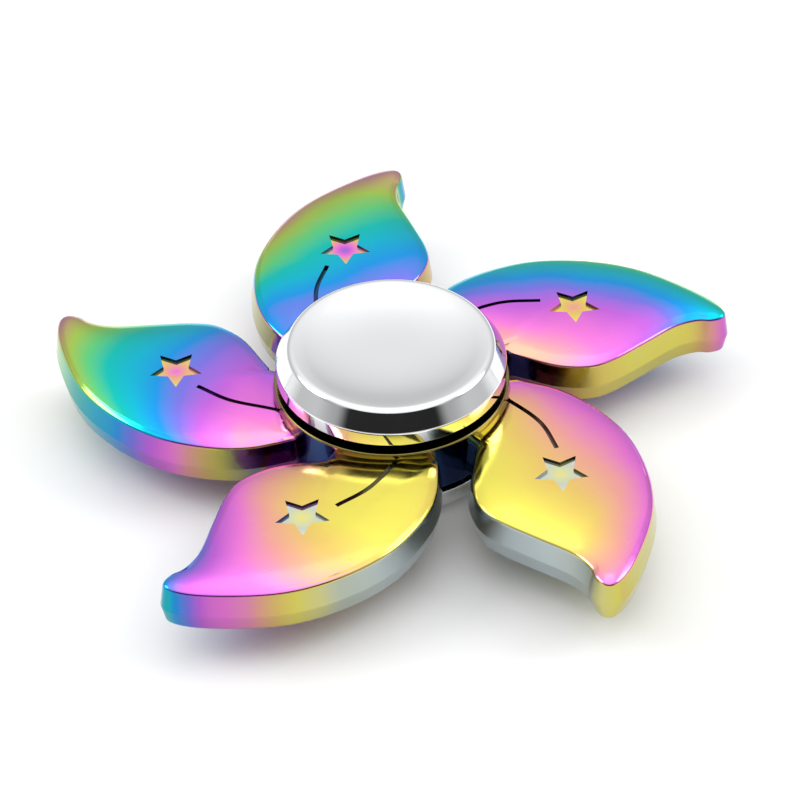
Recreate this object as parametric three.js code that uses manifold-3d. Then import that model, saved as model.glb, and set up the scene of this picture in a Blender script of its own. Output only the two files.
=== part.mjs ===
// Five-petal fidget spinner: a die-cast flower that turns on a small ball bearing between two dished finger caps.
// Millimetres, +Z up. The origin is the centre of the bearing, and Z is the spin axis.

import * as THREE from 'three';
import { mergeVertices } from 'three/addons/utils/BufferGeometryUtils.js';
import Module from 'manifold-3d';

const wasm = await Module();
wasm.setup();

// ---- Bearing ----
const boreDiameter = 6.35;
const bearingDiameter = 12.7;
const bearingWidth = 4.762;
const ballDiameter = 1.5875;
const ballCount = 10;
const pitchRadius = (boreDiameter + bearingDiameter) / 4;
const raceClearance = 0.05; // between a ball and its two grooves
const shoulderGap = 0.47; // from the pitch circle to either race's shoulder
const raceChamfer = 0.2;
const rebateDepth = 0.5; // the step in each face of the outer race that takes a shield and its clip
const rebateWall = 0.5; // wall left outside that step
const cageGap = 0.13; // between the cage and the races
const cageBack = 0.4; // solid ring of the cage behind the balls
const cageFront = 0.45; // height of the cage's fingers past the ball centres
const pocketClearance = 0.06;
const shieldThickness = 0.2;
const shieldGap = 0.12; // between a shield and the turning inner race
const clipWidth = 0.35;
const clipThickness = 0.2;
const clipOpening = 28; // degrees
const fitGap = 0.03; // between pieces that are pushed together

// ---- Flower ----
const petalCount = 5;
const firstPetalAngle = 102; // degrees, from +X to the first petal's middle line
const hubRim = 0.4; // how far the hub reaches out past the caps
const hubProud = 0.169; // how far it stands past each face of the bearing
const hubChamfer = 0.3;
const petalLength = 22; // from the hub's wall to the tip, along the petal's middle line
const petalWidth = 18.3;
const petalDrop = 0.3; // from the hub's lower face down to the petals' underside
const petalStep = 0.95; // from the hub's upper face down to the rim of a petal's upper face
const petalCrown = 0.75; // rise from the rim to the highest place of the upper face
const petalEdge = 0.4; // softened edge
const petalWaist = 2.55; // from the rim of the upper face down to the parting line, where the wall is widest
const petalFlare = 0.3; // how far the parting line stands out past the rim
const starRadius = 2.64;
const starWaist = 1.3; // radius of the star's inner corners
const starTurn = 25.4; // degrees, from the middle line to one point of the star
const starAlong = 0.426; // place of the star, as a share of the petal's length
const starDepth = 0.3;
const grooveWidth = 0.45;
const grooveDepth = 0.35;

// ---- Finger caps ----
const capRadius = 11;
const capGap = 0.9; // from the hub's faces to the caps
const capBand = 1.4; // height of the upright band
const capHeight = 3.3;
const capShoulderInset = 1.15; // from the band in to the top of the sloping face
const capShoulderDrop = 0.25; // from the crest to the top of the sloping face
const crestInset = 0.3;
const crestWidth = 0.5;
const dishDepth = 0.9;
const dishSharpness = 3.4; // how late the dish turns up into the crest
const capUnderChamfer = 0.15;
const studRadius = 1.7;
const studReach = 0.35; // how far the lower cap's stud enters the body of the upper cap
const studClearance = 0.05;
const spacerWall = 0.85;

// ---- Smoothness ----
const roundSteps = 40;
const grooveSteps = 5;
const stepsPerOutlinePoint = 2;
const racewaySteps = 5;
const dishSteps = 4;
const ballSteps = 12;
const clipSteps = 24;
const petalRingShares = [0.8, 0.55, 0.28];
const edgeSampleStep = 0.4;
const mergeTolerance = 1e-4;

// The petal seen from above, with its middle line upwards. Each point is a share of the petal's width
// from the middle line, and a share of its length out from the hub's wall.
const petalShape = [
  [-0.46, -0.13],
  [-0.54, 0.05],
  [-0.552, 0.232],
  [-0.492, 0.459],
  [-0.333, 0.677],
  [-0.131, 0.836],
  [0.142, 0.95],
  [0.344, 1],
  [0.437, 0.995],
  [0.464, 0.964],
  [0.451, 0.909],
  [0.415, 0.864],
  [0.391, 0.764],
  [0.421, 0.564],
  [0.445, 0.395],
  [0.432, 0.295],
  [0.339, 0.173],
  [0.164, 0.064],
  [0.082, 0.016],
];
const petalHeart = [-0.16, 0.57]; // a place that sees the whole outline, in the same shares
const petalCrest = [-0.05, 0.38]; // where the upper face is highest
const grooveShape = [
  [-0.273, -0.055],
  [-0.227, 0.164],
  [-0.128, 0.318],
];

// ---- Sizes that follow ----
const boreRadius = boreDiameter / 2;
const bearingRadius = bearingDiameter / 2;
const bearingHalfWidth = bearingWidth / 2;
const ballRadius = ballDiameter / 2;
const grooveRadius = ballRadius + raceClearance;
const innerShoulder = pitchRadius - shoulderGap;
const outerShoulder = pitchRadius + shoulderGap;
const rebateRadius = bearingRadius - rebateWall;
const rebateFloor = bearingHalfWidth - rebateDepth;
const hubRadius = capRadius + hubRim;
const hubHalfHeight = bearingHalfWidth + hubProud;
const petalUnderside = -hubHalfHeight - petalDrop;
const petalEdgeTop = hubHalfHeight - petalStep;
const capUnderside = hubHalfHeight + capGap;
const capTop = capUnderside + capHeight;
const capShoulderRadius = capRadius - capShoulderInset;
const crestOuter = capShoulderRadius - crestInset;
const crestInner = crestOuter - crestWidth;
const studTop = capUnderside + studReach;
const stemRadius = boreRadius - fitGap;

const { degToRad } = THREE.MathUtils;

// ---- Shapes ----

// A solid of revolution about Z, from [radius, height] points taken anticlockwise around the section.
function turned(profile) {
  const points = profile.map(([radius, height]) => new THREE.Vector2(radius, height));
  return new THREE.LatheGeometry(points, roundSteps).rotateX(Math.PI / 2);
}

// A ring's section is closed by returning to its first point.
function turnedRing(profile) {
  return turned([...profile, profile[0]]);
}

// A closed skin over rings of points, with a point closing each end.
function loft(start, rings, end) {
  const around = rings[0].length;
  const points = [start, ...rings.flat(), end];
  const last = points.length - 1;
  const faces = [];
  for (let i = 0; i < around; i++) {
    const next = (i + 1) % around;
    faces.push(0, 1 + next, 1 + i);
    for (let ring = 0; ring < rings.length - 1; ring++) {
      const low = 1 + ring * around;
      const high = low + around;
      faces.push(low + i, low + next, high + next);
      faces.push(low + i, high + next, high + i);
    }
    const top = last - around;
    faces.push(last, top + i, top + next);
  }
  const geometry = new THREE.BufferGeometry().setFromPoints(points);
  geometry.setIndex(faces);
  return geometry;
}

function toSolid(geometry) {
  const bare = geometry.clone();
  bare.deleteAttribute('normal');
  bare.deleteAttribute('uv');
  const merged = mergeVertices(bare, mergeTolerance);
  const index = merged.index.array;
  const faces = [];
  for (let i = 0; i < index.length; i += 3) {
    const [a, b, c] = [index[i], index[i + 1], index[i + 2]];
    if (a !== b && b !== c && c !== a) faces.push(a, b, c);
  }
  const mesh = new wasm.Mesh({
    numProp: 3,
    vertProperties: new Float32Array(merged.attributes.position.array),
    triVerts: new Uint32Array(faces),
  });
  mesh.merge();
  return new wasm.Manifold(mesh);
}

function toGeometry(solid) {
  const mesh = solid.getMesh();
  const geometry = new THREE.BufferGeometry();
  geometry.setAttribute('position', new THREE.BufferAttribute(mesh.vertProperties, 3));
  geometry.setIndex(new THREE.BufferAttribute(mesh.triVerts, 1));
  return geometry;
}

// ---- Flower ----

function onPetal([across, along]) {
  return new THREE.Vector3(across * petalWidth, hubRadius + along * petalLength, 0);
}

// The outline, anticlockwise. Its two root corners are buried in the hub.
function petalOutline() {
  const edge = petalShape.map(onPetal);
  const curve = new THREE.CatmullRomCurve3(edge, false, 'centripetal');
  const points = curve.getPoints((edge.length - 1) * stepsPerOutlinePoint);
  const rootRadius = (bearingRadius + hubRadius) / 2;
  const rootLeft = points[0].clone().setLength(rootRadius);
  const rootRight = points.at(-1).clone().setLength(rootRadius);
  return [rootLeft, ...points, rootRight].reverse();
}

const outline = petalOutline();
const heart = onPetal(petalHeart);

// Short pieces of the outline, each as its middle and its length.
function outlineSamples() {
  return outline.flatMap((from, i) => {
    const to = outline[(i + 1) % outline.length];
    const length = from.distanceTo(to);
    const count = Math.ceil(length / edgeSampleStep);
    const middles = Array.from({ length: count }, (_, k) => from.clone().lerp(to, (k + 0.5) / count));
    return middles.map((middle) => ({ middle, length: length / count }));
  });
}

const samples = outlineSamples();

// How deep inside the outline a place lies. The near edges count most, so it has no creases.
function insideDepth(place) {
  const flat = place.clone().setZ(0);
  let pull = 0;
  for (const { middle, length } of samples) {
    pull += length / Math.max(flat.distanceTo(middle), edgeSampleStep / 2) ** 3;
  }
  return Math.sqrt(2 / pull);
}

const deepest = insideDepth(onPetal(petalCrest));

function surfaceHeight(place) {
  const share = Math.min(insideDepth(place) / deepest, 1);
  return petalEdgeTop + petalCrown * (1 - (1 - share) ** 2);
}

function petalRing(share, height) {
  return outline.map((point) => point.clone().sub(heart).multiplyScalar(share).add(heart).setZ(height));
}

function petalBlank() {
  const inset = 1 - petalEdge / (petalWidth / 2);
  const flared = 1 + petalFlare / (petalWidth / 2);
  const rings = [
    petalRing(inset, petalUnderside),
    petalRing(1, petalUnderside + petalEdge),
    petalRing(flared, petalEdgeTop - petalWaist),
    petalRing(1, petalEdgeTop - petalEdge),
    petalRing(inset, petalEdgeTop),
  ];
  for (const share of petalRingShares) {
    rings.push(petalRing(share, 0).map((point) => point.setZ(surfaceHeight(point))));
  }
  return loft(heart.clone().setZ(petalUnderside), rings, heart.clone().setZ(surfaceHeight(heart)));
}

function starCutter() {
  const star = new THREE.Shape();
  const corners = 10;
  for (let i = 0; i < corners; i++) {
    const radius = i % 2 ? starWaist : starRadius;
    const angle = degToRad(90 + starTurn) + (i * 2 * Math.PI) / corners;
    const corner = [radius * Math.cos(angle), radius * Math.sin(angle)];
    if (i) star.lineTo(...corner);
    else star.moveTo(...corner);
  }
  star.closePath();
  const middle = onPetal([0, starAlong]);
  const floor = surfaceHeight(middle) - starDepth;
  const geometry = new THREE.ExtrudeGeometry(star, { depth: petalCrown + starDepth, bevelEnabled: false });
  return geometry.translate(middle.x, middle.y, floor);
}

function grooveCutter() {
  const path = new THREE.CatmullRomCurve3(grooveShape.map(onPetal));
  const up = new THREE.Vector3(0, 0, 1);
  const rings = [];
  for (let i = 0; i <= grooveSteps; i++) {
    const place = path.getPoint(i / grooveSteps);
    const right = path.getTangent(i / grooveSteps).cross(up).setLength(grooveWidth / 2);
    const floor = surfaceHeight(place) - grooveDepth;
    const clear = petalEdgeTop + petalCrown + grooveDepth;
    const lower = place.clone().setZ(floor);
    const upper = place.clone().setZ(clear);
    rings.push([
      lower.clone().add(right),
      lower.clone().sub(right),
      upper.clone().sub(right),
      upper.clone().add(right),
    ]);
  }
  const middleOf = (ring) => ring[0].clone().add(ring[2]).multiplyScalar(0.5);
  return loft(middleOf(rings[0]), rings, middleOf(rings.at(-1)));
}

function flowerBody() {
  const seatRadius = bearingRadius + fitGap;
  const hub = turnedRing([
    [seatRadius, -hubHalfHeight],
    [hubRadius - hubChamfer, -hubHalfHeight],
    [hubRadius, -hubHalfHeight + hubChamfer],
    [hubRadius, hubHalfHeight - hubChamfer],
    [hubRadius - hubChamfer, hubHalfHeight],
    [seatRadius, hubHalfHeight],
  ]);
  const petal = toSolid(petalBlank()).subtract(toSolid(starCutter())).subtract(toSolid(grooveCutter()));
  let flower = toSolid(hub);
  for (let i = 0; i < petalCount; i++) {
    const turn = firstPetalAngle - 90 + (i * 360) / petalCount;
    flower = flower.add(petal.rotate([0, 0, turn]));
  }
  return toGeometry(flower);
}

// ---- Bearing ----

// Points on a groove's arc around the pitch circle, from one shoulder to the other. side is 1 for the
// outer race and -1 for the inner race, and the arc runs upwards.
function raceway(side) {
  const reach = Math.acos(shoulderGap / grooveRadius);
  const points = [];
  for (let i = 0; i <= racewaySteps; i++) {
    const angle = -reach + (2 * reach * i) / racewaySteps;
    points.push([pitchRadius + side * grooveRadius * Math.cos(angle), grooveRadius * Math.sin(angle)]);
  }
  return points;
}

function outerRace() {
  return turnedRing([
    [bearingRadius - raceChamfer, -bearingHalfWidth],
    [bearingRadius, -bearingHalfWidth + raceChamfer],
    [bearingRadius, bearingHalfWidth - raceChamfer],
    [bearingRadius - raceChamfer, bearingHalfWidth],
    [rebateRadius, bearingHalfWidth],
    [rebateRadius, rebateFloor],
    [outerShoulder, rebateFloor],
    ...raceway(1).reverse(),
    [outerShoulder, -rebateFloor],
    [rebateRadius, -rebateFloor],
    [rebateRadius, -bearingHalfWidth],
  ]);
}

function innerRace() {
  return turnedRing([
    [boreRadius + raceChamfer, -bearingHalfWidth],
    [innerShoulder, -bearingHalfWidth],
    ...raceway(-1),
    [innerShoulder, bearingHalfWidth],
    [boreRadius + raceChamfer, bearingHalfWidth],
    [boreRadius, bearingHalfWidth - raceChamfer],
    [boreRadius, -bearingHalfWidth + raceChamfer],
  ]);
}

function ballPlace(i) {
  const angle = (i * 2 * Math.PI) / ballCount;
  return new THREE.Vector3(pitchRadius * Math.cos(angle), pitchRadius * Math.sin(angle), 0);
}

function ball(radius) {
  return new THREE.SphereGeometry(radius, ballSteps, (ballSteps * 2) / 3).rotateX(Math.PI / 2);
}

// A crown cage: a solid ring below the balls with fingers between them.
function cage() {
  const inside = innerShoulder + cageGap;
  const outside = outerShoulder - cageGap;
  const pocketRadius = ballRadius + pocketClearance;
  const bottom = -pocketRadius - cageBack;
  let solid = toSolid(turnedRing([[inside, bottom], [outside, bottom], [outside, cageFront], [inside, cageFront]]));
  for (let i = 0; i < ballCount; i++) {
    const turn = (i * 360) / ballCount;
    const pocket = toSolid(ball(pocketRadius)).translate([pitchRadius, 0, 0]).rotate([0, 0, turn]);
    solid = solid.subtract(pocket);
  }
  return toGeometry(solid);
}

function shield() {
  const inside = innerShoulder + shieldGap;
  const outside = rebateRadius - fitGap;
  const bottom = rebateFloor + fitGap;
  const top = bottom + shieldThickness;
  return turnedRing([[inside, bottom], [outside, bottom], [outside, top], [inside, top]]);
}

// An open spring ring that holds the shield down in the outer race.
function shieldClip() {
  const outside = rebateRadius - fitGap;
  const inside = outside - clipWidth;
  const from = degToRad(clipOpening / 2);
  const to = 2 * Math.PI - from;
  const ring = new THREE.Shape();
  ring.absarc(0, 0, outside, from, to, false);
  ring.absarc(0, 0, inside, to, from, true);
  ring.closePath();
  const options = { depth: clipThickness, bevelEnabled: false, curveSegments: clipSteps };
  const bottom = rebateFloor + shieldThickness + 2 * fitGap;
  return new THREE.ExtrudeGeometry(ring, options).translate(0, 0, bottom);
}

// ---- Finger hub ----

function spacer() {
  const inside = boreRadius + fitGap;
  const outside = inside + spacerWall;
  const bottom = bearingHalfWidth + fitGap;
  const top = capUnderside - fitGap;
  return turnedRing([[inside, bottom], [outside, bottom], [outside, top], [inside, top]]);
}

// The cap's section from its underside, beside the stem, round the outside to the middle of the dish.
function capSkin() {
  const points = [
    [stemRadius, capUnderside],
    [capRadius - capUnderChamfer, capUnderside],
    [capRadius, capUnderside + capUnderChamfer],
    [capRadius, capUnderside + capBand],
    [capShoulderRadius, capTop - capShoulderDrop],
    [crestOuter, capTop],
    [crestInner, capTop],
  ];
  for (let i = 1; i <= dishSteps; i++) {
    const share = 1 - i / dishSteps;
    points.push([crestInner * share, capTop - dishDepth * (1 - share ** dishSharpness)]);
  }
  return points;
}

// The upper cap's stem is bored from below for the lower cap's stud.
function upperCap() {
  const holeRadius = studRadius + studClearance;
  const holeTop = studTop + fitGap;
  return turned([[0, holeTop], [holeRadius, holeTop], [holeRadius, fitGap], [stemRadius, fitGap], ...capSkin()]);
}

function lowerCap() {
  const skin = capSkin().map(([radius, height]) => [radius, -height]);
  skin.reverse();
  return turned([
    ...skin,
    [stemRadius, -fitGap],
    [studRadius, -fitGap],
    [studRadius, studTop],
    [0, studTop],
  ]);
}

// ---- Assembly ----

const rainbow = { color: '#c06ab8', roughness: 0.22, metalness: 1 };
const chrome = { color: '#e6e8ea', roughness: 0.08, metalness: 1 };
const bearingSteel = { color: '#b9bcc0', roughness: 0.2, metalness: 1 };
const cageNylon = { color: '#d8d2bf', roughness: 0.5, metalness: 0 };
const spacerSteel = { color: '#a4a8ad', roughness: 0.35, metalness: 1 };

function piece(name, geometry, look) {
  const mesh = new THREE.Mesh(geometry, new THREE.MeshStandardMaterial(look));
  mesh.name = name;
  return mesh;
}

// The lower copy of an upper piece is the same piece turned over about X.
function pair(name, geometry, look) {
  const upper = piece(`upper_${name}`, geometry, look);
  const lower = piece(`lower_${name}`, geometry, look);
  lower.rotation.x = Math.PI;
  return [upper, lower];
}

const spinner = new THREE.Group();

const flower = new THREE.Group();
flower.add(piece('flower_body', flowerBody(), rainbow));
flower.add(piece('bearing_outer_race', outerRace(), bearingSteel));
flower.add(...pair('bearing_shield', shield(), bearingSteel));
flower.add(...pair('shield_clip', shieldClip(), spacerSteel));
spinner.add(flower);

const rollers = new THREE.Group();
rollers.add(piece('ball_cage', cage(), cageNylon));
for (let i = 0; i < ballCount; i++) {
  const number = String(i + 1).padStart(2, '0');
  const roller = piece(`bearing_ball_${number}`, ball(ballRadius), bearingSteel);
  roller.position.copy(ballPlace(i));
  rollers.add(roller);
}
spinner.add(rollers);

const fingerHub = new THREE.Group();
fingerHub.add(piece('bearing_inner_race', innerRace(), bearingSteel));
fingerHub.add(...pair('spacer', spacer(), spacerSteel));
fingerHub.add(piece('upper_cap', upperCap(), chrome));
fingerHub.add(piece('lower_cap', lowerCap(), chrome));
spinner.add(fingerHub);

export default spinner;
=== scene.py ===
import math

import bmesh
import bpy
import numpy as np
from mathutils import Matrix, Quaternion, Vector


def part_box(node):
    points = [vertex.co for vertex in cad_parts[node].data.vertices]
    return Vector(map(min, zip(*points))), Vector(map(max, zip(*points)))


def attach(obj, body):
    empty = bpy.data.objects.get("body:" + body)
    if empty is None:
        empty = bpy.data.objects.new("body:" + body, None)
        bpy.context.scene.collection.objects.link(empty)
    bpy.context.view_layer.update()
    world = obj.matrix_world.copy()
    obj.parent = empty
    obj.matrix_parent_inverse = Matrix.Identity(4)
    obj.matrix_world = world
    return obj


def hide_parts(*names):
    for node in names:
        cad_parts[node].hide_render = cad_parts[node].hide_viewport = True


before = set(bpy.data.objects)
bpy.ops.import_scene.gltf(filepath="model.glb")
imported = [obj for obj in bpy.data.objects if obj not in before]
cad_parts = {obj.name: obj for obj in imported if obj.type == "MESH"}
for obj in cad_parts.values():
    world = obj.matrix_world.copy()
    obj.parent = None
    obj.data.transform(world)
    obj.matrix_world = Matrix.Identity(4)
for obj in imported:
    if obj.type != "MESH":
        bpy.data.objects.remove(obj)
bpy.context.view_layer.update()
mm = 0.001
sharpAngle = math.radians(34)


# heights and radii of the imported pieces, in metres
def roundSpan(node):
    low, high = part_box(node)
    return (high.x - low.x) / 2, low.z, high.z


capRadius, _, capTop = roundSpan("upper_cap")
raceRadius, raceBottom, raceTop = roundSpan("bearing_outer_race")
_, ballBottom, ballTop = roundSpan("bearing_ball_01")
ballRadius = (ballTop - ballBottom) / 2
ballCount = sum(1 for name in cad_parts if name.startswith("bearing_ball_"))
boreRadius = 3.175 * mm


# a mesh from a bmesh, smooth except over its sharp edges, with its place in the mesh
def finishPiece(bm, name, angle=sharpAngle):
    for edge in bm.edges:
        edge.smooth = len(edge.link_faces) == 2 and edge.calc_face_angle(0) < angle
    for face in bm.faces:
        face.smooth = True
    mesh = bpy.data.meshes.new(name)
    bm.to_mesh(mesh)
    bm.free()
    piece = bpy.data.objects.new(name, mesh)
    bpy.context.scene.collection.objects.link(piece)
    return piece


def applyModifier(piece, modifier):
    bpy.context.view_layer.objects.active = piece
    with bpy.context.temp_override(object=piece, active_object=piece, selected_objects=[piece]):
        bpy.ops.object.modifier_apply(modifier=modifier.name)


def weightNormals(piece):
    weighted = piece.modifiers.new("evenShading", "WEIGHTED_NORMAL")
    weighted.mode = "FACE_AREA"
    weighted.keep_sharp = True
    applyModifier(piece, weighted)


def cutOrJoin(piece, tool, operation):
    boolean = piece.modifiers.new(operation.lower(), "BOOLEAN")
    boolean.operation = operation
    boolean.solver = "EXACT"
    boolean.use_self = True
    boolean.object = tool
    applyModifier(piece, boolean)
    bpy.data.objects.remove(tool)


mergeDistance = 1e-7


# a turned piece: the section is (radius, height) in metres, open at the axis or closed on itself
def spinSection(section, steps=128, closed=False):
    bm = bmesh.new()
    verts = [bm.verts.new((radius, 0, height)) for radius, height in section]
    if closed:
        verts.append(verts[0])
    edges = [bm.edges.new(pair) for pair in zip(verts, verts[1:])]
    if closed:
        verts.pop()
    bmesh.ops.spin(bm, geom=verts + edges, cent=(0, 0, 0), axis=(0, 0, 1), dvec=(0, 0, 0),
                   angle=math.tau, steps=steps, use_merge=True, use_normal_flip=False, use_duplicate=False)
    bmesh.ops.remove_doubles(bm, verts=bm.verts, dist=mergeDistance)
    bmesh.ops.recalc_face_normals(bm, faces=bm.faces)
    return bm


def ringSection(inside, outside, bottom, top):
    return [(inside, bottom), (outside, bottom), (outside, top), (inside, top)]


# rounds the ring edges of a turned piece that are sharper than the limit
def softenRings(bm, radius, segments=3, limit=math.radians(30)):
    sharp = [edge for edge in bm.edges if len(edge.link_faces) == 2 and edge.calc_face_angle(0) > limit]
    bmesh.ops.bevel(bm, geom=sharp, offset=radius, offset_type="OFFSET", segments=segments, profile=0.5,
                    affect="EDGES", material=-1, clamp_overlap=True)


# the piece in its material, on its body, in place of the plain solids it stands for
def place(piece, body, slot, material, *replaced):
    piece.data.materials.clear()
    piece.data.materials.append(material)
    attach(piece, body)
    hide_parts(*replaced)
    return piece


# a screen colour, each part from 0 to 255, as the shader takes it
def srgb(red, green, blue):
    linear = [c / 12.92 if c <= 0.04045 else ((c + 0.055) / 1.055) ** 2.4
              for c in (red / 255, green / 255, blue / 255)]
    return (*linear, 1)


# a material under construction, with the nodes that the pieces share
class Look:
    def __init__(self, name, color, metallic, roughness):
        self.material = bpy.data.materials.new(name)
        self.material.use_nodes = True
        self.tree = self.material.node_tree
        self.shader = self.tree.nodes["Principled BSDF"]
        self.set("Base Color", color)
        self.set("Metallic", metallic)
        self.set("Roughness", sum(roughness) / 2)

    # a value, or a socket that feeds it, on the shader itself
    def set(self, name, value):
        self.feed(self.shader.inputs[name], value)

    def node(self, kind, settings=None, **inputs):
        made = self.tree.nodes.new(kind)
        for key, value in (settings or {}).items():
            setattr(made, key, value)
        for key, value in inputs.items():
            self.feed(made.inputs[key.replace("_", " ")], value)
        return made

    def feed(self, socket, value):
        if isinstance(value, bpy.types.NodeSocket):
            self.tree.links.new(value, socket)
        else:
            socket.default_value = value

    def objectPlace(self):
        return self.node("ShaderNodeTexCoord").outputs["Object"]

    def noise(self, scale, detail=3, spot=None):
        spot = spot or self.objectPlace()
        made = self.node("ShaderNodeTexNoise", None, Vector=spot, Scale=scale, Detail=detail)
        return made.outputs["Fac"]

    def between(self, value, low, high, fromLow=0.3, fromHigh=0.7):
        made = self.node("ShaderNodeMapRange", None, Value=value)
        made.inputs["From Min"].default_value = fromLow
        made.inputs["From Max"].default_value = fromHigh
        made.inputs["To Min"].default_value = low
        made.inputs["To Max"].default_value = high
        return made.outputs["Result"]

    def bump(self, height, distance, strength=1, under=None):
        made = self.node("ShaderNodeBump", None, Height=height, Distance=distance, Strength=strength)
        if under is not None:
            self.feed(made.inputs["Normal"], under)
        return made.outputs["Normal"]

    # distance from the spin axis, for turning marks that run in rings
    def ringPlace(self):
        flat = self.node("ShaderNodeVectorMath", {"operation": "MULTIPLY"})
        self.feed(flat.inputs[0], self.objectPlace())
        flat.inputs[1].default_value = (1, 1, 0)
        length = self.node("ShaderNodeVectorMath", {"operation": "LENGTH"})
        self.feed(length.inputs[0], flat.outputs["Vector"])
        joined = self.node("ShaderNodeCombineXYZ", None, X=length.outputs["Value"])
        return joined.outputs["Vector"]


plating = dict(
    # film colours in the order that the film thickens
    film=[
        (0.00, (222, 236, 238)),
        (0.05, (210, 220, 200)),
        (0.10, (238, 234, 154)),
        (0.17, (249, 238, 98)),
        (0.25, (245, 208, 112)),
        (0.33, (250, 172, 160)),
        (0.41, (251, 128, 226)),
        (0.49, (210, 106, 232)),
        (0.56, (130, 124, 240)),
        (0.63, (24, 158, 242)),
        (0.70, (0, 190, 222)),
        (0.77, (0, 202, 188)),
        (0.84, (104, 218, 132)),
        (0.91, (178, 211, 86)),
        (0.96, (200, 172, 122)),
        (1.00, (198, 140, 162)),
    ],
    baseColor=(220, 120, 210),
    # the dark navy of the painted shade and painted dark reflections on walls and in recesses
    paintedShadeColor=(14, 18, 52),
    cloudScale=160,
    cloudShift=0.012,
    roughness=(0.11, 0.17),
    grainScale=900,
    coatWeight=0.12,
    coatIor=1.8,
    coatRoughness=0.12,
    peelScale=700,
    peelDepth=0.02 * mm,
    peelStrength=0.5,
    pitScale=420,
    pitReach=(0.02, 0.07),
    pitDepth=0.03 * mm,
    pitStrength=0.35,
)


def makePlating():
    look = Look("rainbowPlating", srgb(*plating["baseColor"]), 1, plating["roughness"])
    thickness = look.node("ShaderNodeAttribute", {"attribute_name": "film"}).outputs["Fac"]
    cloud = look.between(look.noise(plating["cloudScale"], 2), -plating["cloudShift"], plating["cloudShift"])
    phase = look.node("ShaderNodeMath", {"operation": "ADD", "use_clamp": True})
    look.feed(phase.inputs[0], thickness)
    look.feed(phase.inputs[1], cloud)
    ramp = look.node("ShaderNodeValToRGB", None, Fac=phase.outputs["Value"])
    stops = ramp.color_ramp.elements
    for share, color in plating["film"][1:-1]:
        stops.new(share).color = srgb(*color)
    stops[0].color = srgb(*plating["film"][0][1])
    stops[len(stops) - 1].color = srgb(*plating["film"][-1][1])
    # painted shade and painted dark reflection: the film colour is mixed towards dark navy where the
    # paintedShade attribute is set
    paintedShade = look.node("ShaderNodeAttribute", {"attribute_name": "paintedShade"}).outputs["Fac"]
    paintedShadeMix = look.node("ShaderNodeMix", {"data_type": "RGBA"}, Factor=paintedShade)
    look.feed(paintedShadeMix.inputs["A"], ramp.outputs["Color"])
    look.feed(paintedShadeMix.inputs["B"], srgb(*plating["paintedShadeColor"]))
    look.set("Base Color", paintedShadeMix.outputs["Result"])
    look.set("Roughness", look.between(look.noise(plating["grainScale"], 4), *plating["roughness"]))
    look.set("Coat Weight", plating["coatWeight"])
    look.set("Coat IOR", plating["coatIor"])
    look.set("Coat Roughness", plating["coatRoughness"])
    peel = look.bump(look.noise(plating["peelScale"], 2), plating["peelDepth"], plating["peelStrength"])
    specks = look.node("ShaderNodeTexVoronoi", None, Vector=look.objectPlace(), Scale=plating["pitScale"])
    pits = look.between(specks.outputs["Distance"], 1, 0, *plating["pitReach"])
    look.set("Normal", look.bump(pits, plating["pitDepth"], plating["pitStrength"], peel))
    return look.material


chrome = dict(
    color=(0.86, 0.87, 0.88, 1),
    roughness=(0.05, 0.09),
    grainScale=500,
    ringScale=9000,
    ringDepth=0.002 * mm,
    ringStrength=0.4,
)


def makeChrome():
    look = Look("capChrome", chrome["color"], 1, chrome["roughness"])
    look.set("Roughness", look.between(look.noise(chrome["grainScale"], 5), *chrome["roughness"]))
    rings = look.noise(chrome["ringScale"], 2, look.ringPlace())
    look.set("Normal", look.bump(rings, chrome["ringDepth"], chrome["ringStrength"]))
    return look.material


steel = dict(
    bearingSteel=dict(color=(0.62, 0.63, 0.65, 1), roughness=(0.12, 0.24), ringScale=6000),
    springSteel=dict(color=(0.5, 0.51, 0.53, 1), roughness=(0.25, 0.4), ringScale=4000),
    ballSteel=dict(color=(0.7, 0.71, 0.73, 1), roughness=(0.04, 0.1), ringScale=2000),
    ringDepth=0.004 * mm,
    ringStrength=0.5,
)


def makeSteel(name):
    kind = steel[name]
    look = Look(name, kind["color"], 1, kind["roughness"])
    rings = look.noise(kind["ringScale"], 3, look.ringPlace())
    look.set("Roughness", look.between(rings, *kind["roughness"]))
    look.set("Normal", look.bump(rings, steel["ringDepth"], steel["ringStrength"]))
    return look.material


nylon = dict(
    color=(222, 214, 192),
    glow=0.2,
    glowReach=(0.6 * mm, 0.5 * mm, 0.4 * mm),
    roughness=(0.38, 0.55),
    grainScale=2500,
    skinScale=3000,
    skinDepth=0.004 * mm,
    skinStrength=0.5,
)


def makeNylon():
    look = Look("cageNylon", srgb(*nylon["color"]), 0, nylon["roughness"])
    look.set("Subsurface Weight", nylon["glow"])
    look.set("Subsurface Radius", nylon["glowReach"])
    look.set("Roughness", look.between(look.noise(nylon["grainScale"], 3), *nylon["roughness"]))
    skin = look.noise(nylon["skinScale"], 3)
    look.set("Normal", look.bump(skin, nylon["skinDepth"], nylon["skinStrength"]))
    return look.material


rainbowPlating = makePlating()
capChrome = makeChrome()
bearingSteel = makeSteel("bearingSteel")
springSteel = makeSteel("springSteel")
ballSteel = makeSteel("ballSteel")
cageNylon = makeNylon()
print("materials made")


view = dict(
    lens=153.9,
    sensor=36,
    nearest=0.01,
    place=Vector((0, -248.5, 214.2)) * mm,
    aim=Vector((0.75, -3.2, 2.35)) * mm,
    roll=math.radians(-1.3),
)


def makeCamera():
    data = bpy.data.cameras.new("camera")
    data.lens = view["lens"]
    data.sensor_width = view["sensor"]
    data.clip_start = view["nearest"]
    camera = bpy.data.objects.new("camera", data)
    aim = (view["aim"] - view["place"]).to_track_quat("-Z", "Y")
    camera.rotation_mode = "QUATERNION"
    camera.rotation_quaternion = aim @ Quaternion((0, 0, 1), view["roll"])
    camera.location = view["place"]
    bpy.context.scene.collection.objects.link(camera)
    bpy.context.scene.camera = camera


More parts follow.
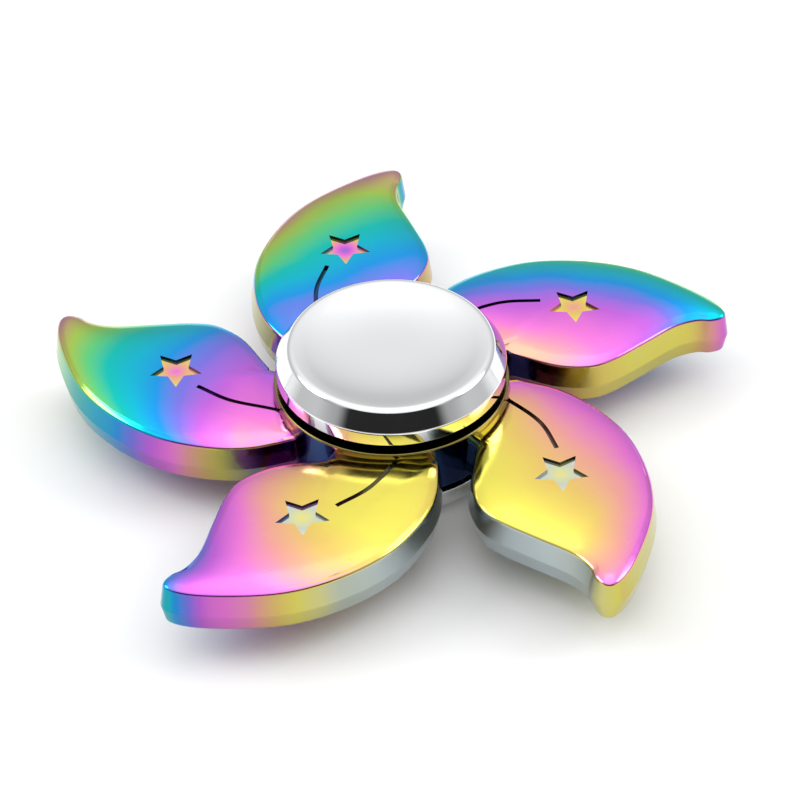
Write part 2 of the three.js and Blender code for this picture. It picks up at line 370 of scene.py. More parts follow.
studio = dict(
    # brightness of the tent by height, from straight down to straight up
    sky=[(0, 0.42), (0.512, 0.42), (0.54, 0.25), (0.61, 0.27), (0.667, 0.33), (0.728, 0.39), (0.778, 0.45),
         (0.833, 0.53), (0.889, 0.55), (1, 0.53)],
    skyStrength=2.35,
    # the dark gap that the camera looks through, as angles out from its middle
    gapMiddle=math.radians(29),
    gapHeight=(math.radians(8), math.radians(15)),
    gapWidth=(math.radians(42), math.radians(56)),
    gapDark=0.05,
    cheekWidth=(math.radians(70), math.radians(84)),
    cheekShade=0.4,
    # the place, size and power of each lamp
    lamps=dict(
        overheadSoftbox=((0.02, 0.02, 0.6), 0.6, 0.25),
        leftSoftbox=((-0.56, 0.08, 0.42), 0.4, 1.3),
        rightSoftbox=((0.56, 0.08, 0.42), 0.4, 1.3),
    ),
    floorRadius=12,
    floorTone=(0.955, 0.97),
    floorGrain=30,
    floorRoughness=(0.7, 0.7),
    floorShine=0.2,
)


# a white tent lit from above, with the dark gap that the camera looks through
def makeWorld():
    world = bpy.data.worlds.new("tent")
    world.use_nodes = True
    bpy.context.scene.world = world
    tree = world.node_tree
    background = tree.nodes["Background"]

    def maths(operation, *values):
        made = tree.nodes.new("ShaderNodeMath")
        made.operation = operation
        for socket, value in zip(made.inputs, values):
            if isinstance(value, bpy.types.NodeSocket):
                tree.links.new(value, socket)
            else:
                socket.default_value = value
        return made.outputs[0]

    # 1 inside the first angle, 0 outside the second
    def within(angle, limits):
        made = tree.nodes.new("ShaderNodeMapRange")
        made.interpolation_type = "SMOOTHSTEP"
        tree.links.new(maths("ABSOLUTE", angle), made.inputs["Value"])
        made.inputs["From Min"].default_value = limits[0]
        made.inputs["From Max"].default_value = limits[1]
        made.inputs["To Min"].default_value = 1
        made.inputs["To Max"].default_value = 0
        return made.outputs["Result"]

    direction = tree.nodes.new("ShaderNodeTexCoord").outputs["Generated"]
    split = tree.nodes.new("ShaderNodeSeparateXYZ")
    tree.links.new(direction, split.inputs[0])
    height = maths("ARCSINE", split.outputs["Z"])
    around = maths("ARCTAN2", split.outputs["X"], maths("MULTIPLY", split.outputs["Y"], -1))
    ramp = tree.nodes.new("ShaderNodeValToRGB")
    tree.links.new(maths("ADD", maths("DIVIDE", height, math.pi), 0.5), ramp.inputs["Fac"])
    stops = ramp.color_ramp.elements
    for share, _ in studio["sky"][1:-1]:
        stops.new(share)
    for stop, (_, shade) in zip(stops, studio["sky"]):
        stop.color = (shade, shade, shade, 1)
    inHeight = within(maths("SUBTRACT", height, studio["gapMiddle"]), studio["gapHeight"])
    gap = maths("MULTIPLY", inHeight, within(around, studio["gapWidth"]))
    cheek = maths("MULTIPLY", inHeight, within(around, studio["cheekWidth"]))
    shade = maths("SUBTRACT", 1, maths("MULTIPLY", cheek, studio["cheekShade"]))
    bright = maths("MULTIPLY", shade, maths("SUBTRACT", 1, maths("MULTIPLY", gap, 1 - studio["gapDark"])))
    bright = maths("MULTIPLY", bright, studio["skyStrength"])
    tree.links.new(ramp.outputs["Color"], background.inputs["Color"])
    tree.links.new(bright, background.inputs["Strength"])


# a round lamp that points at the middle of the piece
def makeLamp(name, spot, size, power):
    data = bpy.data.lights.new(name, "AREA")
    data.shape = "DISK"
    data.size = size
    data.energy = power
    lamp = bpy.data.objects.new(name, data)
    lamp.location = spot
    lamp.rotation_euler = (-Vector(spot)).to_track_quat("-Z", "Y").to_euler()
    bpy.context.scene.collection.objects.link(lamp)


def makeFloor():
    bm = bmesh.new()
    bmesh.ops.create_circle(bm, cap_ends=True, radius=studio["floorRadius"], segments=96)
    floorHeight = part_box("lower_cap")[0].z
    bmesh.ops.translate(bm, vec=(0, 0, floorHeight), verts=bm.verts)
    floor = finishPiece(bm, "floor")
    look = Look("floorCard", (1, 1, 1, 1), 0, studio["floorRoughness"])
    look.set("Specular IOR Level", studio["floorShine"])
    tone = look.between(look.noise(studio["floorGrain"], 4), *studio["floorTone"])
    joined = look.node("ShaderNodeCombineXYZ", None, X=tone, Y=tone, Z=tone)
    look.set("Base Color", joined.outputs["Vector"])
    floor.data.materials.append(look.material)


makeCamera()
makeWorld()
for name, lamp in studio["lamps"].items():
    makeLamp(name, *lamp)
makeFloor()
scene = bpy.context.scene
scene.view_settings.view_transform = "Standard"
scene.view_settings.look = "None"
print("camera, light and floor made")


petal = dict(
    count=5,
    firstAngle=math.radians(102),
    hubRadius=11.4 * mm,
    length=22 * mm,
    width=18.3 * mm,
    underside=-2.85 * mm,
    edgeTop=1.6 * mm,
    crown=0.75 * mm,
    edgeRound=0.45 * mm,
    edgeSegments=5,
    crownSlope=math.radians(10),
    partingHeight=-0.95 * mm,
    partingLand=0.05 * mm,
    flare=0.3 * mm,
    # a place that sees the whole outline, and the highest place of the upper face, as in the shape below
    heart=(-0.16, 0.57),
    crest=(-0.05, 0.38),
    rings=30,
    cutsPerPoint=5,
    sampleStep=0.3 * mm,
    rootDip=10.3 * mm,
    weld=0.002 * mm,
    shortest=0.001 * mm,
    sortLine=Vector((1, 1.37, 1.71)),
    # shares of the width from the middle line, and of the length out from the hub
    shape=[
        (-0.46, -0.13), (-0.54, 0.05), (-0.552, 0.232), (-0.492, 0.459), (-0.333, 0.677),
        (-0.131, 0.836), (0.142, 0.95), (0.344, 1), (0.437, 0.995), (0.464, 0.964),
        (0.451, 0.909), (0.415, 0.864), (0.391, 0.764), (0.421, 0.564), (0.445, 0.395),
        (0.432, 0.295), (0.339, 0.173), (0.164, 0.064), (0.082, 0.016),
    ],
)
star = dict(
    radius=2.64 * mm,
    waist=1.3 * mm,
    turn=math.radians(25.4),
    along=0.426,
    depth=0.3 * mm,
    taper=0.96,
)
groove = dict(
    width=0.45 * mm,
    depth=0.35 * mm,
    cuts=12,
    samples=6,
    line=[(-0.273, -0.055), (-0.227, 0.164), (-0.128, 0.318)],
)


def onPetal(across, along):
    return Vector((across * petal["width"], petal["hubRadius"] + along * petal["length"], 0))


# a smooth line through points, with the spacing that keeps close points from swinging it
def smoothLine(points, cuts):
    ends = [points[0] * 2 - points[1], *points, points[-1] * 2 - points[-2]]
    line = []
    for a, b, c, d in zip(ends, ends[1:], ends[2:], ends[3:]):
        t1 = (b - a).length ** 0.5
        t2 = t1 + (c - b).length ** 0.5
        t3 = t2 + (d - c).length ** 0.5
        for cut in range(cuts):
            t = t1 + (t2 - t1) * cut / cuts
            ab = a.lerp(b, t / t1)
            bc = b.lerp(c, (t - t1) / (t2 - t1))
            cd = c.lerp(d, (t - t2) / (t3 - t2))
            line.append(ab.lerp(bc, t / t2).lerp(bc.lerp(cd, (t - t1) / (t3 - t1)), (t - t1) / (t2 - t1)))
    return [*line, points[-1]]


outline = smoothLine([onPetal(*point) for point in petal["shape"]], petal["cutsPerPoint"])
heart = onPetal(*petal["heart"])
rootRadius = (raceRadius + petal["hubRadius"]) / 2
rootLeft = outline[0].normalized() * rootRadius
rootRight = outline[-1].normalized() * rootRadius
petalLoop = [rootLeft, *outline, rootRight]


# short pieces of the closed outline, each as its middle and its length
def edgeSamples():
    middles, lengths = [], []
    rim = [outline[0].normalized() * petal["rootDip"], *outline, outline[-1].normalized() * petal["rootDip"]]
    for a, b in zip(rim, [*rim[1:], rim[0]]):
        count = math.ceil((b - a).length / petal["sampleStep"])
        for i in range(count):
            middles.append(a.lerp(b, (i + 0.5) / count)[:2])
            lengths.append((b - a).length / count)
    return np.array(middles), np.array(lengths)


edgeMiddles, edgeLengths = edgeSamples()


# how deep inside the outline each place lies, without the creases that a plain distance has
def insideDepth(places):
    places = np.asarray(places)[:, :2]
    pull = np.zeros(len(places))
    for middle, length in zip(edgeMiddles, edgeLengths):
        gap = np.hypot(places[:, 0] - middle[0], places[:, 1] - middle[1])
        pull += length / np.maximum(gap, petal["sampleStep"] / 2) ** 3
    return np.sqrt(2 / pull)


deepest = insideDepth([onPetal(*petal["crest"])])[0]


def crownRise(places):
    share = np.clip(insideDepth(places) / deepest, 0, 1)
    return petal["crown"] * (1 - (1 - share) ** 2)


def insetFace(bm, face, thickness, depth):
    bmesh.ops.inset_individual(bm, faces=[face], thickness=thickness, depth=depth, use_even_offset=True)


# the rounded edge, as small steps in and up round a quarter turn that ends at the given slope
def roundEdge(bm, face, radius, segments, endSlope=0):
    turn = math.pi / 2 - endSlope
    before = (0, 0)
    for i in range(1, segments + 1):
        angle = turn * i / segments
        after = (radius * (1 - math.cos(angle)), radius * math.sin(angle))
        insetFace(bm, face, after[0] - before[0], after[1] - before[1])
        before = after


# the outline moved outwards, for the parting line where the wall is widest
def widened(points, amount):
    moved = []
    for i, point in enumerate(points):
        run = points[(i + 1) % len(points)] - points[i - 1]
        moved.append(point + Vector((-run.y, run.x, 0)).normalized() * amount)
    return moved


def makePetal():
    bm = bmesh.new()
    level = Vector((0, 0, petal["partingHeight"]))
    bm.faces.new([bm.verts.new(point + level) for point in widened(petalLoop, petal["flare"])])
    grown = bmesh.ops.extrude_face_region(bm, geom=bm.faces[:])
    raised = [item for item in grown["geom"] if isinstance(item, bmesh.types.BMVert)]
    bmesh.ops.translate(bm, vec=(0, 0, petal["partingLand"]), verts=raised)
    bmesh.ops.recalc_face_normals(bm, faces=bm.faces)
    top = max(bm.faces, key=lambda face: (abs(face.normal.z), face.calc_center_median().z))
    bottom = max(bm.faces, key=lambda face: (abs(face.normal.z), -face.calc_center_median().z))
    topSide = petal["edgeTop"] - petal["partingHeight"] - petal["partingLand"] - petal["edgeRound"]
    bottomSide = petal["partingHeight"] - petal["underside"] - petal["edgeRound"]
    insetFace(bm, top, petal["flare"], topSide)
    insetFace(bm, bottom, petal["flare"], bottomSide)
    roundEdge(bm, top, petal["edgeRound"], petal["edgeSegments"], petal["crownSlope"])
    roundEdge(bm, bottom, petal["edgeRound"], petal["edgeSegments"])
    rim = list(top.verts)
    centre = Matrix.Translation(-heart)
    inner = []
    for i in range(1, petal["rings"]):
        share = (petal["rings"] - i) / (petal["rings"] - i + 1)
        insetFace(bm, top, 0, 0)
        bmesh.ops.scale(bm, vec=(share, share, 1), space=centre, verts=top.verts)
        inner += list(top.verts)
    inner += bmesh.ops.poke(bm, faces=[top])["verts"]
    rimHeight = rim[0].co.z
    for vert, rise in zip(inner, crownRise([vert.co for vert in inner])):
        vert.co.z = rimHeight + rise
    bmesh.ops.recalc_face_normals(bm, faces=bm.faces)
    return finishPiece(bm, "petals"), rimHeight


def surfaceHeight(place, rimHeight):
    return rimHeight + crownRise([place])[0]


def makeStarCutter(rimHeight):
    middle = onPetal(0, star["along"])
    floorHeight = surfaceHeight(middle, rimHeight) - star["depth"]
    bm = bmesh.new()
    corners = []
    for i in range(10):
        radius = star["waist"] if i % 2 else star["radius"]
        angle = math.pi / 2 + star["turn"] + i * math.tau / 10
        corner = Vector((radius * math.cos(angle), radius * math.sin(angle), 0)) * star["taper"]
        corners.append(bm.verts.new(corner))
    floor = bm.faces.new(corners)
    grown = bmesh.ops.extrude_face_region(bm, geom=[floor])
    raised = [item for item in grown["geom"] if isinstance(item, bmesh.types.BMVert)]
    bmesh.ops.translate(bm, vec=(0, 0, star["depth"] * 2), verts=raised)
    # the middle of the floor, for its own colour
    bmesh.ops.poke(bm, faces=[face for face in bm.faces if face.calc_center_median().z < mergeDistance])
    widen = 1 + (1 / star["taper"] - 1) * 2
    bmesh.ops.scale(bm, vec=(widen, widen, 1), verts=raised)
    bmesh.ops.translate(bm, vec=middle + Vector((0, 0, floorHeight)), verts=bm.verts)
    bmesh.ops.recalc_face_normals(bm, faces=bm.faces)
    return finishPiece(bm, "starCutter")


def makeGrooveCutter(rimHeight):
    line = smoothLine([onPetal(*point) for point in groove["line"]], groove["cuts"])
    bm = bmesh.new()
    rails = ([], [])
    for i, point in enumerate(line):
        ahead = line[min(i + 1, len(line) - 1)] - line[max(i - 1, 0)]
        side = ahead.cross(Vector((0, 0, 1))).normalized() * groove["width"] / 2
        floorHeight = surfaceHeight(point, rimHeight) - groove["depth"]
        for rail, offset in zip(rails, (side, -side)):
            rail.append(bm.verts.new(point + offset + Vector((0, 0, floorHeight))))
    edges = [bm.edges.new(pair) for rail in rails for pair in zip(rail, rail[1:])]
    bmesh.ops.bridge_loops(bm, edges=edges)
    grown = bmesh.ops.extrude_face_region(bm, geom=bm.faces[:])
    raised = [item for item in grown["geom"] if isinstance(item, bmesh.types.BMVert)]
    bmesh.ops.translate(bm, vec=(0, 0, groove["depth"] * 3), verts=raised)
    bmesh.ops.recalc_face_normals(bm, faces=bm.faces)
    return finishPiece(bm, "grooveCutter")


hub = dict(
    wall=11.25 * mm,
    bottom=-2.55 * mm,
    top=2.55 * mm,
    seatGap=0.03 * mm,
    edge=0.16 * mm,
    edgeSegments=4,
    steps=160,
)


def makeHub():
    seat = raceRadius + hub["seatGap"]
    section = ringSection(seat, hub["wall"], hub["bottom"], hub["top"])
    bm = spinSection(section, hub["steps"], closed=True)
    softenRings(bm, hub["edge"], hub["edgeSegments"])
    return finishPiece(bm, "hub")


def makeFlower():
    petals, rimHeight = makePetal()
    cutOrJoin(petals, makeStarCutter(rimHeight), "DIFFERENCE")
    cutOrJoin(petals, makeGrooveCutter(rimHeight), "DIFFERENCE")
    bm = bmesh.new()
    bm.from_mesh(petals.data)
    bpy.data.objects.remove(petals)
    bmesh.ops.rotate(bm, cent=(0, 0, 0), matrix=Matrix.Rotation(petal["firstAngle"] - math.pi / 2, 3, "Z"),
                     verts=bm.verts)
    others = petal["count"] - 1
    bmesh.ops.spin(bm, geom=bm.verts[:] + bm.edges[:] + bm.faces[:], cent=(0, 0, 0), axis=(0, 0, 1),
                   dvec=(0, 0, 0), angle=math.tau * others / petal["count"], steps=others,
                   use_merge=False, use_normal_flip=False, use_duplicate=True)
    bmesh.ops.recalc_face_normals(bm, faces=bm.faces)
    petals = finishPiece(bm, "petals")
    flower = makeHub()
    cutOrJoin(flower, petals, "UNION")
    bm = bmesh.new()
    bm.from_mesh(flower.data)
    bpy.data.objects.remove(flower)
    # the join leaves its vertices in no fixed order, and what the weld keeps depends on it
    bm.verts.sort(key=lambda vert: vert.co.dot(petal["sortLine"]))
    bm.verts.index_update()
    bmesh.ops.remove_doubles(bm, verts=bm.verts, dist=petal["weld"])
    bmesh.ops.dissolve_degenerate(bm, edges=bm.edges, dist=petal["shortest"])
    flower = finishPiece(bm, "flowerBody")
    return flower, rimHeight


# The film's thickness over the petals, as shares of the colour run, one line to a petal.
film = dict(
    # the upper faces, from the root to the tip: the leading edge, the middle and the trailing edge
    faceRows=(0.1, 0.4, 0.7, 1.0),
    faces=[
        [(0.60, 0.57, 0.50), (0.87, 0.72, 0.66), (0.97, 0.87, 0.84), (1.00, 1.00, 0.98)],
        [(0.34, 0.44, 0.52), (0.60, 0.58, 0.72), (0.84, 0.75, 0.86), (0.93, 0.97, 1.00)],
        [(0.19, 0.20, 0.36), (0.16, 0.22, 0.45), (0.30, 0.36, 0.52), (0.48, 0.50, 0.64)],
        [(0.45, 0.26, 0.14), (0.45, 0.27, 0.14), (0.44, 0.28, 0.16), (0.42, 0.38, 0.40)],
        [(0.68, 0.44, 0.28), (0.78, 0.49, 0.41), (0.86, 0.61, 0.52), (0.84, 0.80, 0.74)],
    ],
    # the side walls, from the root to the tip: the leading wall, then the trailing wall
    wallRows=(0.1, 0.35, 0.55, 0.7, 0.8, 0.9, 1.0),
    walls=[
        [(0.10, 0.14, 0.88, 0.92, 0.94, 0.97, 1.00), (0.22, 0.26, 0.80, 0.90, 0.93, 0.60, 0.52)],
        [(0.02, 0.42, 0.66, 0.74, 0.80, 0.87, 0.97), (0.50, 0.60, 0.70, 0.78, 0.84, 0.90, 0.96)],
        [(0.00, 0.00, 0.05, 0.20, 0.36, 0.44, 0.66), (0.45, 0.52, 0.58, 0.62, 0.66, 0.70, 0.74)],
        [(0.14, 0.14, 0.13, 0.13, 0.14, 0.16, 0.20), (0.02, 0.00, 0.00, 0.01, 0.03, 0.10, 0.19)],
        [(0.62, 0.50, 0.62, 0.70, 0.75, 0.80, 0.72), (0.36, 0.22, 0.16, 0.17, 0.20, 0.36, 0.55)],
    ],
    # the stars, at their points and in the middle
    stars=[(0.16, 0.55), (0.16, 0.42), (0.00, 0.12), (0.00, 0.10), (0.14, 0.34)],
    starReach=1.05,
    starSlack=0.03 * mm,
    grooveReach=1.1,
    grooveSink=(0.06 * mm, 0.2 * mm),
    rim=0.06,
    rimWidth=0.5 * mm,
    hubEdge=0.2,
    hubWall=0.6,
    hubSlack=(0.01 * mm, -0.005 * mm),
    hubBelow=0.1 * mm,
    ringClear=0.02 * mm,
    # painted shade: how dark the plating is painted in its recesses, on its walls and on the hub, for the
    # shade and dark reflections there
    hubWallPaintedShade=0.8,
    hubEdgePaintedShade=0.75,
    recessPaintedShade=0.85,
    rootPaintedShade=0.8,
    wallPaintedShade=0.42,
    rootReach=(0.32, 0.02),
    # the upward share of a normal: where face turns into wall, and what counts as flat, steep or upright
    wallFrom=0.75,
    wallTo=0.3,
    flat=0.9,
    steep=0.5,
    upright=0.3,
    # where one petal's share of the circle gives way to the next, past its middle line
    sectorLean=0.1,
)


def readNumbers(items, key, width=1, kind=np.float64):
    values = np.empty(len(items) * width, dtype=kind)
    items.foreach_get(key, values)
    return values.reshape(-1, width) if width > 1 else values


# which petal each place is on, and the place turned back to where that petal was drawn
def petalPlace(places):
    step = math.tau / petal["count"]
    around = np.arctan2(places[:, 1], places[:, 0])
    turn = np.round((around - petal["firstAngle"] - film["sectorLean"]) / step)
    back = math.pi / 2 - petal["firstAngle"] - turn * step
    drawn = np.stack([places[:, 0] * np.cos(back) - places[:, 1] * np.sin(back),
                      places[:, 0] * np.sin(back) + places[:, 1] * np.cos(back)], axis=1)
    return turn.astype(int) % petal["count"], drawn


def distances(places, points):
    return np.hypot(places[:, None, 0] - points[None, :, 0], places[:, None, 1] - points[None, :, 1])


# how far along its own wall each place lies, by the nearest point of the outline
def wallShare(places, points, tip):
    run = np.concatenate([[0], np.cumsum(np.linalg.norm(np.diff(points, axis=0), axis=1))])
    nearest = np.argmin(distances(places, points), axis=1)
    onLead = nearest <= tip
    fromEnd = (run[-1] - run[nearest]) / (run[-1] - run[tip])
    return onLead, np.where(onLead, run[nearest] / run[tip], fromEnd)


# every value is worked out for a vertex and the face that uses it, so borders stay crisp
def paintFilm(flower, rimHeight):
    mesh = flower.data
    spots = readNumbers(mesh.vertices, "co", 3)
    user = readNumbers(mesh.loops, "vertex_index", kind=np.int32)
    sizes = readNumbers(mesh.polygons, "loop_total", kind=np.int32)
    up = np.repeat(readNumbers(mesh.polygons, "normal", 3)[:, 2], sizes)
    centre = np.repeat(readNumbers(mesh.polygons, "center", 3), sizes, axis=0)
    which, faceLocal = petalPlace(centre)
    local = petalPlace(spots[user])[1]
    drawn = petalPlace(spots)[1]

    points = np.array([(point.x, point.y) for point in outline])
    tip = int(np.argmax(points[:, 1]))
    along = np.clip((local[:, 1] - petal["hubRadius"]) / petal["length"], 0, 1)
    lead = np.interp(local[:, 1], points[:tip, 1], points[:tip, 0])
    trail = np.interp(local[:, 1], points[tip:, 1][::-1], points[tip:, 0][::-1])
    across = np.clip(2 * (local[:, 0] - lead) / np.maximum(trail - lead, 1 * mm) - 1, -1, 1)
    onLead, alongWall = [values[user] for values in wallShare(drawn, points, tip)]
    rim = film["rim"] * np.exp(-insideDepth(drawn)[user] / film["rimWidth"])

    starPlace = onPetal(0, star["along"])
    middle = np.array([starPlace[:2]])
    fromStar = distances(local, middle)[:, 0] / star["radius"]
    atStar = distances(faceLocal, middle)[:, 0] / star["radius"] < film["starReach"]
    starFloor = surfaceHeight(starPlace, rimHeight) - star["depth"]
    onFloor = np.abs(centre[:, 2] - starFloor) < film["starSlack"]
    inStar = atStar & onFloor & (up > film["flat"])
    starWall = atStar & (up < film["steep"]) & (centre[:, 2] > starFloor)
    line = smoothLine([onPetal(*point) for point in groove["line"]], groove["samples"])
    line = np.array([point[:2] for point in line])
    atGroove = np.min(distances(faceLocal, line), axis=1) < groove["width"] * film["grooveReach"]
    surface = rimHeight + crownRise(faceLocal)
    sink, bottom = film["grooveSink"]
    inGroove = atGroove & (centre[:, 2] < surface - sink) & (centre[:, 2] > rimHeight - bottom)

    phase = np.empty(len(user))
    blend = np.clip((film["wallFrom"] - up) / (film["wallFrom"] - film["wallTo"]), 0, 1)
    for number in range(petal["count"]):
        here = which == number
        columns = np.array(film["faces"][number]).T
        rows = [np.interp(along[here], film["faceRows"], column) for column in columns]
        u = across[here]
        top = rows[1] + (rows[2] - rows[0]) / 2 * u + ((rows[2] + rows[0]) / 2 - rows[1]) * u * u
        rows = [np.interp(alongWall[here], film["wallRows"], row) for row in film["walls"][number]]
        wall = np.where(onLead[here], rows[0], rows[1])
        atPoints, inMiddle = film["stars"][number]
        starRun = inMiddle + (atPoints - inMiddle) * np.clip(fromStar[here], 0, 1)
        phase[here] = np.where(inStar[here], starRun, top + (wall - top) * blend[here])
    phase += np.where(inStar | starWall, 0, rim * (1 - blend))

    # a petal's face beside the ring can curve round it, so its centre alone doesn't tell them apart
    height = centre[:, 2]
    ringEdge = hub["top"] - hub["edge"]
    hubReach = hub["wall"] + np.where(np.abs(up) < film["upright"], *film["hubSlack"])
    besideRing = (up > film["upright"]) & (height < ringEdge - film["ringClear"])
    onHub = (np.hypot(centre[:, 0], centre[:, 1]) < hubReach) & (height > hub["bottom"] - film["hubBelow"])
    onHub &= ~besideRing
    upper = height > petal["edgeTop"]
    phase = np.where(onHub, np.where(upper, film["hubEdge"], film["hubWall"]), phase)

    # painted shade: walls are darkened, more so towards the root, and the star walls, the groove and the hub
    # get their own painted shade
    far, near = film["rootReach"]
    atRoot = np.clip((far - alongWall) / (far - near), 0, 1)
    paintedShade = blend * (film["wallPaintedShade"] + (film["rootPaintedShade"] - film["wallPaintedShade"]) * atRoot)
    paintedShade = np.where(starWall | inGroove, film["recessPaintedShade"], paintedShade)
    paintedShade = np.where(onHub, np.where(height > ringEdge, film["hubEdgePaintedShade"], film["hubWallPaintedShade"]), paintedShade)
    for name, values in (("film", np.clip(phase, 0, 1)), ("paintedShade", paintedShade)):
        attribute = mesh.attributes.new(name, "FLOAT", "CORNER")
        attribute.data.foreach_set("value", values.astype(np.float32))


flowerBody, rimHeight = makeFlower()
paintFilm(flowerBody, rimHeight)
weightNormals(flowerBody)
place(flowerBody, "flower", "petal_plating", rainbowPlating, "flower_body")
print("flower body made:", len(flowerBody.data.polygons), "faces")


cap = dict(
    underside=3.45 * mm,
    band=1.4 * mm,
    edgeRound=0.14 * mm,
    shoulderRadius=9.85 * mm,
    shoulderDrop=0.25 * mm,
    crestRadius=9.3 * mm,
    crestLand=0.3 * mm,
    crestRound=0.5 * mm,
    crestSteps=10,
    crestReach=0.3 * mm,
    dishDepth=0.9 * mm,
    dishSharpness=3.4,
    dishSteps=26,
    dishStart=2,
    stemGap=0.03 * mm,
    studRadius=1.7 * mm,
    studTop=3.8 * mm,
    studClearance=0.05 * mm,
    steps=192,
)


# a rounded corner between two straight runs of a section, as points on a curve
def roundCorner(before, corner, after, size, steps=6):
    before, corner, after = Vector(before), Vector(corner), Vector(after)
    start = corner + (before - corner).normalized() * size
    end = corner + (after - corner).normalized() * size
    return [tuple(start.lerp(corner, i / steps).lerp(corner.lerp(end, i / steps), i / steps))
            for i in range(steps + 1)]


def capSkin():
    lowIn = (boreRadius - cap["stemGap"], cap["underside"])
    lowOut = (capRadius, cap["underside"])
    bandTop = (capRadius, cap["underside"] + cap["band"])
    shoulder = (cap["shoulderRadius"], capTop - cap["shoulderDrop"])
    inner = cap["crestRadius"] - cap["crestLand"] / 2
    dish = []
    for i in range(cap["dishSteps"] + 1):
        share = 1 - i / cap["dishSteps"]
        dish.append((inner * share, capTop - cap["dishDepth"] * (1 - share ** cap["dishSharpness"])))
    slope = (Vector(shoulder) - Vector(bandTop)).normalized()
    peak = tuple(Vector(shoulder) + slope * cap["crestReach"])
    lower = [
        lowIn,
        *roundCorner(lowIn, lowOut, bandTop, cap["edgeRound"]),
        *roundCorner(lowOut, bandTop, shoulder, cap["edgeRound"]),
    ]
    dish = dish[cap["dishStart"]:]
    upper = [*roundCorner(bandTop, peak, dish[0], cap["crestRound"], cap["crestSteps"]), *dish]
    # rounding the crest lowers it, so it is drawn back up to its full height
    stretch = (capTop - bandTop[1]) / (max(height for _, height in upper) - bandTop[1])
    return [*lower, *[(radius, bandTop[1] + (height - bandTop[1]) * stretch) for radius, height in upper]]


def makeUpperCap():
    holeRadius = cap["studRadius"] + cap["studClearance"]
    holeTop = cap["studTop"] + cap["stemGap"]
    stem = boreRadius - cap["stemGap"]
    section = [(0, holeTop), (holeRadius, holeTop), (holeRadius, cap["stemGap"]),
               (stem, cap["stemGap"]), *capSkin()]
    return finishPiece(spinSection(section, cap["steps"]), "upperCap")


def makeLowerCap():
    skin = [(radius, -height) for radius, height in reversed(capSkin())]
    stem = boreRadius - cap["stemGap"]
    section = [*skin, (stem, -cap["stemGap"]), (cap["studRadius"], -cap["stemGap"]),
               (cap["studRadius"], cap["studTop"]), (0, cap["studTop"])]
    return finishPiece(spinSection(section, cap["steps"]), "lowerCap")


for name, makeCap in (("upper_cap", makeUpperCap), ("lower_cap", makeLowerCap)):
    piece = makeCap()
    weightNormals(piece)
    place(piece, "finger_hub", "cap_chrome", capChrome, name)
print("caps made")


bearing = dict(
    groove=0.05 * mm,
    shoulder=0.47 * mm,
    chamfer=0.2 * mm,
    rebate=0.5 * mm,
    fit=0.03 * mm,
    cageGap=0.13 * mm,
    cageBack=0.4 * mm,
    cageFront=0.45 * mm,
    pocket=0.06 * mm,
    shieldGap=0.12 * mm,
    shield=0.2 * mm,
    clipWidth=0.35 * mm,
    clip=0.2 * mm,
    clipOpening=math.radians(28),
    spacerWall=0.85 * mm,
    softEdge=0.03 * mm,
    clipSteps=90,
    cageSteps=180,
    cageSharp=math.radians(24),
    pocketSegments=(32, 16),
    ballSegments=(36, 18),
)
pitch = (boreRadius + raceRadius) / 2
inShoulder = pitch - bearing["shoulder"]
outShoulder = pitch + bearing["shoulder"]
rebateRadius = raceRadius - bearing["rebate"]
rebateFloor = raceTop - bearing["rebate"]


# the groove that the balls run in, from below to above, with side 1 for the outer race and -1 for the inner
def raceway(side, steps=14):
    radius = ballRadius + bearing["groove"]
    reach = math.acos(bearing["shoulder"] / radius)
    angles = [reach * (2 * i / steps - 1) for i in range(steps + 1)]
    return [(pitch + side * radius * math.cos(angle), radius * math.sin(angle)) for angle in angles]


def softRing(name, section, steps=128):
    bm = spinSection(section, steps, closed=True)
    softenRings(bm, bearing["softEdge"], segments=2)
    return finishPiece(bm, name)


def makeRaces():
    edge = raceRadius - bearing["chamfer"]
    outer = [
        (edge, raceBottom), (raceRadius, raceBottom + bearing["chamfer"]),
        (raceRadius, raceTop - bearing["chamfer"]), (edge, raceTop),
        (rebateRadius, raceTop), (rebateRadius, rebateFloor), (outShoulder, rebateFloor),
        *reversed(raceway(1)),
        (outShoulder, -rebateFloor), (rebateRadius, -rebateFloor), (rebateRadius, raceBottom),
    ]
    edge = boreRadius + bearing["chamfer"]
    inner = [
        (edge, raceBottom), (inShoulder, raceBottom), *raceway(-1), (inShoulder, raceTop), (edge, raceTop),
        (boreRadius, raceTop - bearing["chamfer"]), (boreRadius, raceBottom + bearing["chamfer"]),
    ]
    place(softRing("outerRace", outer), "flower", "bearing_steel", bearingSteel, "bearing_outer_race")
    place(softRing("innerRace", inner), "finger_hub", "bearing_steel", bearingSteel, "bearing_inner_race")


# a piece made for the upper side, turned over when it belongs below
def flipped(piece, side):
    if side < 0:
        piece.data.transform(Matrix.Rotation(math.pi, 4, "X"))
    return piece


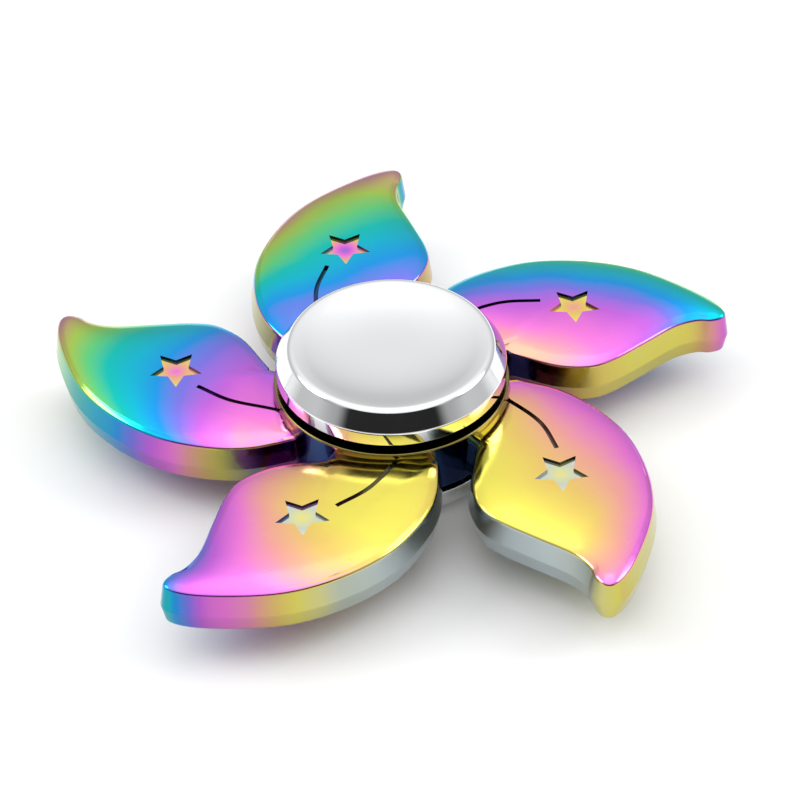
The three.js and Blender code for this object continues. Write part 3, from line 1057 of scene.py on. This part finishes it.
def makeCovers(prefix, side):
    bottom = rebateFloor + bearing["fit"]
    outside = rebateRadius - bearing["fit"]
    section = ringSection(inShoulder + bearing["shieldGap"], outside, bottom, bottom + bearing["shield"])
    shield = flipped(softRing(prefix + "Shield", section), side)
    place(shield, "flower", "bearing_steel", bearingSteel, prefix + "_bearing_shield")

    bm = bmesh.new()
    bottom += bearing["shield"] + bearing["fit"]
    section = ringSection(outside - bearing["clipWidth"], outside, bottom, bottom + bearing["clip"])
    face = bm.faces.new([bm.verts.new((radius, 0, height)) for radius, height in section])
    bmesh.ops.rotate(bm, cent=(0, 0, 0), verts=bm.verts,
                     matrix=Matrix.Rotation(bearing["clipOpening"] / 2, 3, "Z"))
    bmesh.ops.spin(bm, geom=[face, *face.edges, *face.verts], cent=(0, 0, 0), axis=(0, 0, 1), dvec=(0, 0, 0),
                   angle=math.tau - bearing["clipOpening"], steps=bearing["clipSteps"],
                   use_merge=False, use_normal_flip=False, use_duplicate=False)
    bmesh.ops.recalc_face_normals(bm, faces=bm.faces)
    softenRings(bm, bearing["softEdge"], segments=2)
    clip = flipped(finishPiece(bm, prefix + "Clip"), side)
    place(clip, "flower", "spring_steel", springSteel, prefix + "_shield_clip")

    inside = boreRadius + bearing["fit"]
    section = ringSection(inside, inside + bearing["spacerWall"], raceTop + bearing["fit"],
                          cap["underside"] - bearing["fit"])
    spacer = flipped(softRing(prefix + "Spacer", section), side)
    place(spacer, "finger_hub", "spring_steel", springSteel, prefix + "_spacer")


def makeSphere(bm, segments, radius, spot):
    bmesh.ops.create_uvsphere(bm, u_segments=segments[0], v_segments=segments[1], radius=radius, matrix=spot)


def makeCage():
    pocket = ballRadius + bearing["pocket"]
    section = ringSection(inShoulder + bearing["cageGap"], outShoulder - bearing["cageGap"],
                          -pocket - bearing["cageBack"], bearing["cageFront"])
    ring = finishPiece(spinSection(section, bearing["cageSteps"], closed=True), "ring")
    bm = bmesh.new()
    for i in range(ballCount):
        spot = Matrix.Rotation(i * math.tau / ballCount, 4, "Z") @ Matrix.Translation((pitch, 0, 0))
        makeSphere(bm, bearing["pocketSegments"], pocket, spot)
    cutOrJoin(ring, finishPiece(bm, "pockets"), "DIFFERENCE")
    bm = bmesh.new()
    bm.from_mesh(ring.data)
    bpy.data.objects.remove(ring)
    cage = finishPiece(bm, "ballCage", bearing["cageSharp"])
    place(cage, "ball_cage", "cage_nylon", cageNylon, "ball_cage")


def makeBalls():
    for i in range(ballCount):
        number = f"{i + 1:02d}"
        low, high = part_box("bearing_ball_" + number)
        bm = bmesh.new()
        spot = Matrix.Translation((low + high) / 2)
        makeSphere(bm, bearing["ballSegments"], ballRadius, spot)
        ball = finishPiece(bm, "ball" + number)
        place(ball, "ball_" + number, "bearing_steel", ballSteel, "bearing_ball_" + number)


makeRaces()
for prefix, side in (("upper", 1), ("lower", -1)):
    makeCovers(prefix, side)
makeCage()
makeBalls()
print("bearing made")

bpy.context.view_layer.update()
